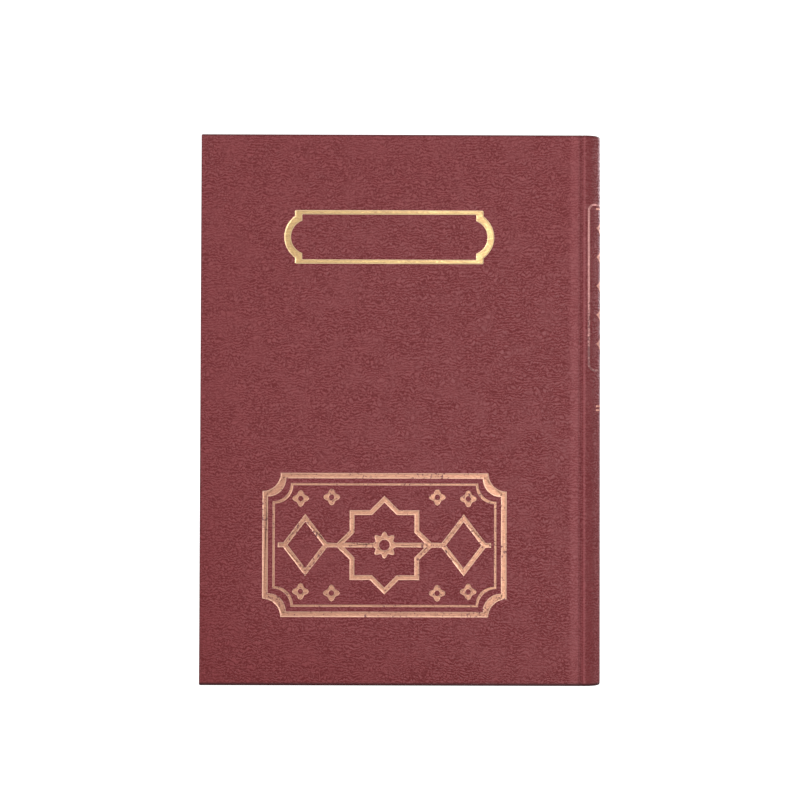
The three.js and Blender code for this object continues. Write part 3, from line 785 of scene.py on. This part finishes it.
def joint_and_spine():
    """The covering over the joint and half of the spine, turned in over the card at both ends."""
    plan, section = joint_and_spine_plan(), covering_section()
    columns, rows = len(plan), len(section) + 1
    # The pressing fades by this share towards head and tail, over this length
    fade_share, fade_length = 0.45, 6 * MM
    bpy.ops.mesh.primitive_grid_add(x_subdivisions=columns - 1, y_subdivisions=rows - 1, size=2)
    obj = named("front_joint_and_spine_skin")
    for vertex in obj.data.vertices:
        column = round((vertex.co.x + 1) / 2 * (columns - 1))
        row = round((vertex.co.y + 1) / 2 * (rows - 1))
        place, out, share, pressed = plan[column]
        depth, height = section[row % len(section)]
        to_end = min(height, CASE_HEIGHT - height) / fade_length
        fade = fade_share * max(0.0, 1 - to_end) ** 2
        across = place - out * depth * share - Vector((0, pressed * fade))
        vertex.co = (across.x, across.y, height)
    face_outwards(obj)
    bpy.ops.object.mode_set(mode="EDIT")
    pick(obj, lambda e: e.is_boundary, "EDGE")
    bpy.ops.mesh.edge_face_add()
    bpy.ops.object.mode_set(mode="OBJECT")
    face_outwards(obj)
    return obj


class BOOK_OT_covering(bpy.types.Operator):
    """Covers the boards, the joints and the spine"""

    bl_idname = "book.covering"
    bl_label = "Covering"

    def execute(self, context):
        for name, side in SIDES.items():
            covered_board(name, side)
        front = joint_and_spine()
        back = mirrored(front, "back_joint_and_spine_skin")
        for name, obj in (("front", front), ("back", back)):
            finish_piece(obj, "leatherette")
            smooth(obj, 50)
            side = SIDES[name]
            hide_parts(f"{name}_joint_cloth", "spine_cloth")
            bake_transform(obj)
        return {"FINISHED"}


# Foil


def pressed_foil(node, look, rim, merge):
    """Foil pressed into its stamped recess: it slopes down from a rim with a painted highlight to its middle.
    """
    settings = bpy.context.scene.book_look
    obj = copy_of_node(node, node.replace("_foil", "_stamp"), 0.02 * MM, whole=False)
    low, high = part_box(node)
    bpy.ops.object.mode_set(mode="EDIT")
    pick(obj, lambda f: f.normal.y > -0.9, "FACE")
    bpy.ops.mesh.delete(type="FACE")
    bpy.ops.mesh.select_all(action="SELECT")
    bpy.ops.transform.translate(value=(0, -CASE_HALF - low.y - STAMP_PROUD, 0))
    bpy.ops.mesh.remove_doubles(threshold=merge)
    bpy.ops.object.mode_set(mode="OBJECT")
    if look == "gold_foil":
        slim_bars(obj, low.z, high.z)
    apply_modifier(obj, "SOLIDIFY", thickness=STAMP_BODY, offset=-1)
    bpy.ops.object.mode_set(mode="EDIT")
    pick(obj, lambda f: f.normal.y < -0.9, "FACE")
    bpy.ops.mesh.inset(thickness=rim, depth=0, use_boundary=True)
    bpy.ops.transform.translate(value=(0, settings.press, 0))
    bpy.ops.object.mode_set(mode="OBJECT")
    marks = obj.data.attributes.new("rim", "FLOAT", "POINT")
    edge = -CASE_HALF - STAMP_PROUD / 3
    marks.data.foreach_set("value", [float(v.co.y < edge) for v in obj.data.vertices])
    bpy.ops.object.shade_flat()
    finish_piece(obj, look)
    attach(obj, "front_cover")
    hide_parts(node)


def slim_bars(obj, low, high):
    """Makes the level bars of the title frame thinner, and less and less what lies inside them."""
    half_bar, middle, reach = 1.45 * MM, (low + high) / 2, 3 * MM
    line = (high - low) / 2 - half_bar
    for vertex in obj.data.vertices:
        up = vertex.co.z - middle
        inside = line - abs(up)
        share = min(max(1 - (inside - half_bar) / reach, 0), 1)
        vertex.co.z += math.copysign(1, up) * 0.2 * min(inside, half_bar) * share


def spine_frame(node):
    """The frame on the spine, a little wider round the back so that its side shows beside the groove."""
    obj = copy_of_node(node, "spine_frame_stamp", whole=False)
    modelled_degrees, degrees = 78, 83
    for vertex in obj.data.vertices:
        from_middle = math.atan2(vertex.co.y, vertex.co.x - SPINE_CENTRE) * degrees / modelled_degrees
        radius = math.hypot(vertex.co.y, vertex.co.x - SPINE_CENTRE)
        vertex.co.x = SPINE_CENTRE + radius * math.cos(from_middle)
        vertex.co.y = radius * math.sin(from_middle)
    finish_piece(obj, "faded_foil")
    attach(obj, BLOCK_BODY)
    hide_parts(node)


class BOOK_OT_foil(bpy.types.Operator):
    """Stamps the foil on the front cover and the spine"""

    bl_idname = "book.foil"
    bl_label = "Foil"

    def execute(self, context):
        # In millimetres: the width of the rim that has the painted highlight, and how near each other points
        # are merged
        rims = {"title_frame_foil": 0.7, "panel_frame_foil": 0.8, "medallion_foil": 0.65}
        merges = {"medallion_foil": 0.31}
        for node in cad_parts:
            if node == "spine_frame_foil":
                spine_frame(node)
            elif "spine" in node and "foil" in node:
                keep_node(node, "spine_foil")
            elif "foil" in node:
                look = "gold_foil" if node.startswith("title") else "rose_foil"
                pressed_foil(node, look, rims.get(node, 0.3) * MM, merges.get(node, 0.02) * MM)
        return {"FINISHED"}


# Endpapers and leaves


def bending_sheet(name, side, distance, thick, across):
    """A sheet with close columns where it bends and wide ones where it stays flat."""
    low, high = PASTE_LOW.z, PASTE_HIGH.z
    x0, x1 = across
    steps = 30
    columns = [x0, (x0 + x1 - BEND_LENGTH) / 2]
    columns += [x1 - BEND_LENGTH + BEND_LENGTH * k / steps for k in range(steps + 1)]
    path = [(x, side * distance) for x in columns]
    obj = swept_strip(name, path, low, high)
    apply_modifier(obj, "SOLIDIFY", thickness=thick, offset=0)
    face_outwards(obj)
    return obj


def turning_sheet(node, look):
    """A leaf or flyleaf that bends from its fold as it turns."""
    low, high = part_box(node)
    name = node.split("_")[0]
    side = SIDES[name]
    distance = abs(low.y + high.y) / 2
    obj = bending_sheet(f"{node}_sheet", side, distance, high.y - low.y, (low.x, high.x))
    finish_piece(obj, look)
    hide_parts(node)
    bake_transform(obj)


def pasted_sheet(name):
    """The endpaper half that is pasted to the board and runs across the joint to its fold."""
    side = SIDES[name]
    node = f"{name}_pastedown"
    low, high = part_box(node)
    distance = abs(low.y + high.y) / 2
    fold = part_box(f"{name}_flyleaf")[1].x
    obj = bending_sheet(f"{name}_pasted_sheet", side, distance, high.y - low.y, (low.x, fold))
    finish_piece(obj, "endpaper")
    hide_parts(node)
    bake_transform(obj)


class BOOK_OT_leaves(bpy.types.Operator):
    """Makes the endpapers and the leaves that turn"""

    bl_idname = "book.leaves"
    bl_label = "Endpapers and Leaves"

    def execute(self, context):
        for name in SIDES:
            pasted_sheet(name)
            turning_sheet(f"{name}_flyleaf", "endpaper")
            for number in (1, 2, 3):
                turning_sheet(f"{name}_leaf_{number}", "leaf_paper")
        return {"FINISHED"}


# The block and its back


def keep_node(node, look):
    """A CAD node whose shape is right gets its finish."""
    painted(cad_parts[node], look)


class BOOK_OT_block(bpy.types.Operator):
    """Finishes the sewn block, its linings, bands and boards"""

    bl_idname = "book.block"
    bl_label = "Block and Back"

    def execute(self, context):
        finishes = {
            "back_mull": "muslin",
            "back_lining_paper": "kraft_paper",
            "head_band": "band_cloth",
            "tail_band": "band_cloth",
            "spine_liner": "greyboard",
            "front_board": "greyboard",
            "back_board": "greyboard",
        }
        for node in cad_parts:
            if "section" in node:
                finishes[node] = "block_paper"
        for node, look in finishes.items():
            keep_node(node, look)
        return {"FINISHED"}


# Stage


def area_light(name, place, aim, size, power, colour=(1, 1, 1)):
    """A rectangular light that faces its aim."""
    light = bpy.data.lights.new(name, "AREA")
    light.energy = power
    light.shape = "RECTANGLE"
    light.size, light.size_y = size
    light.color = colour
    obj = bpy.data.objects.new(name, light)
    bpy.context.scene.collection.objects.link(obj)
    obj.location = place
    obj.rotation_mode = "QUATERNION"
    obj.rotation_quaternion = (Vector(aim) - Vector(place)).to_track_quat("-Z", "Y")


def sweep_floor():
    """A pale floor that curves up into a backdrop behind the book."""
    width, depth, rise, bend = 8, 6, 4, 1.5
    near_back = depth / 2 - 0.1
    bpy.ops.mesh.primitive_plane_add(size=1, location=(0, 0, 0))
    obj = named("floor")
    obj.scale = (width, depth, 1)
    settle(obj)
    bpy.ops.object.mode_set(mode="EDIT")
    pick(obj, lambda e: all(v.co.y > near_back for v in e.verts), "EDGE")
    bpy.ops.mesh.extrude_edges_move(TRANSFORM_OT_translate={"value": (0, 0, rise)})
    pick(obj, lambda e: all(v.co.y > near_back and v.co.z < 0.01 for v in e.verts), "EDGE")
    bpy.ops.mesh.bevel(offset=bend, segments=24, affect="EDGES")
    bpy.ops.object.mode_set(mode="OBJECT")
    smooth(obj, 60)
    obj.data.materials.append(material("pale_stage"))


def photo_camera():
    """The camera at the photograph's angle, fitted to the corners of the cover in it."""
    focal_px, image_px, sensor_mm = 1803.5, 800, 36
    yaw, pitch, roll = math.radians(0.17), math.radians(1.088), math.radians(0.166)
    camera = bpy.data.cameras.new("photo_camera")
    camera.sensor_width = sensor_mm
    camera.lens = focal_px / image_px * sensor_mm
    camera.clip_start, camera.clip_end = 0.01, 100
    obj = bpy.data.objects.new("photo_camera", camera)
    bpy.context.scene.collection.objects.link(obj)
    obj.location = (-0.00349, -1.0, 0.13784)
    ahead = Vector((math.sin(yaw) * math.cos(pitch), math.cos(yaw) * math.cos(pitch), math.sin(pitch)))
    right = Vector((math.cos(yaw), -math.sin(yaw), 0))
    up = right.cross(ahead)
    right, up = (
        right * math.cos(roll) + up * math.sin(roll),
        up * math.cos(roll) - right * math.sin(roll),
    )
    turn = Matrix((right, up, -ahead)).transposed()
    obj.rotation_mode = "QUATERNION"
    obj.rotation_quaternion = turn.to_quaternion()
    bpy.context.scene.camera = obj


class BOOK_OT_stage(bpy.types.Operator):
    """Sets the floor, the lights and the camera"""

    bl_idname = "book.stage"
    bl_label = "Stage"

    def execute(self, context):
        sweep_floor()
        middle = (0, 0, CASE_HEIGHT / 2)
        # Name, place, aim, width and height in metres, and power in watts
        area_light("key", (-3.4, -2.5, 1.6), middle, (1.6, 1.6), 123)
        area_light("sheen", (0.55, -2.1, 0.3), (0.05, 0, 0.15), (0.6, 0.6), 20)
        area_light("side", (3.0, -0.7, 0.6), middle, (0.8, 1.6), 50)
        area_light("top", (0.2, 0.5, 2.2), middle, (2.0, 2.0), 8)
        area_light("rear", (1.6, 2.1, 1.1), middle, (1.2, 1.2), 52, (0.92, 0.95, 1.0))
        world = bpy.data.worlds.new("studio")
        world.use_nodes = True
        shade = world.node_tree.nodes["Background"]
        shade.inputs[0].default_value = WHITE
        n = Nodes(world.node_tree)
        seen = n.add("ShaderNodeLightPath").outputs["Is Camera Ray"]
        n.link(n.ranged(seen, 0.0, 1.0, 0.28, 1.0), shade.inputs[1])
        context.scene.world = world
        context.scene.view_settings.view_transform = "Standard"
        photo_camera()
        return {"FINISHED"}


STEPS = ("covering", "foil", "leaves", "block", "stage")


class BOOK_PT_panel(bpy.types.Panel):
    """Lists the steps that dress the book"""

    bl_idname = "BOOK_PT_panel"
    bl_label = "Register Book"
    bl_space_type = "VIEW_3D"
    bl_region_type = "UI"
    bl_category = "Book"

    def draw(self, context):
        look = context.scene.book_look
        for key in look.__annotations__:
            self.layout.prop(look, key)
        for step in STEPS:
            self.layout.operator(f"book.{step}")


CLASSES = (
    BookLook,
    BOOK_OT_covering,
    BOOK_OT_foil,
    BOOK_OT_leaves,
    BOOK_OT_block,
    BOOK_OT_stage,
    BOOK_PT_panel,
)


def register():
    for each in CLASSES:
        bpy.utils.register_class(each)
    bpy.types.Scene.book_look = bpy.props.PointerProperty(type=BookLook)


def unregister():
    del bpy.types.Scene.book_look
    for each in reversed(CLASSES):
        bpy.utils.unregister_class(each)


def main():
    """Dresses the book step by step."""
    register()
    for step in STEPS:
        deselect()
        getattr(bpy.ops.book, step)()
    deselect()


if __name__ == "__main__":
    main()
